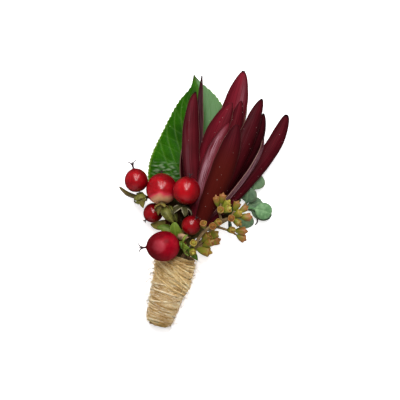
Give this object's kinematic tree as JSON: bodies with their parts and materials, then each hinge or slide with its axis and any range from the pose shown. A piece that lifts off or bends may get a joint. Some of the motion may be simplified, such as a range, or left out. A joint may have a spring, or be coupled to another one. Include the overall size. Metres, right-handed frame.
{
  "type": "boutonniere",
  "caption": "Buttonhole flower of a dark red bract head before a broad toothed leaf, with red berries, seeded sprigs and round leaves, their stems bound in jute twine.",
  "frame": {"origin": "middle of the narrow flat at the back of the twine binding, where it lies against a lapel", "axes": "+Z out of the surface that it lies on, towards the face that is seen; +Y from the cut stems to the tip of the head; +X to the right, where the seeded sprigs are"},
  "size_m": [0.0652, 0.1134, 0.0276],
  "materials": {
    "twine": "matt fibrous jute",
    "bract": "satin, smooth plant skin",
    "leaf": "glossy, smooth plant skin",
    "sprig": "satin, smooth plant skin",
    "berry": "high gloss, smooth fruit skin",
    "bud": "matt, smooth plant skin",
    "round_leaf": "matt, waxy bloom"
  },
  "bodies": {
    "root": {"twine_binding": "twine", "leucadendron_head": "bract", "broad_leaf": "leaf", "hypericum_sprig_upper": "sprig", "hypericum_sprig_lower": "sprig", "hypericum_berry_1": "berry", "hypericum_berry_2": "berry", "hypericum_berry_3": "berry", "hypericum_berry_4": "berry", "hypericum_berry_5": "berry", "hypericum_berry_6": "berry", "eucalyptus_seeds_upper": "bud", "eucalyptus_seeds_lower": "bud", "eucalyptus_leaves": "round_leaf"}
  },
  "joints": []
}
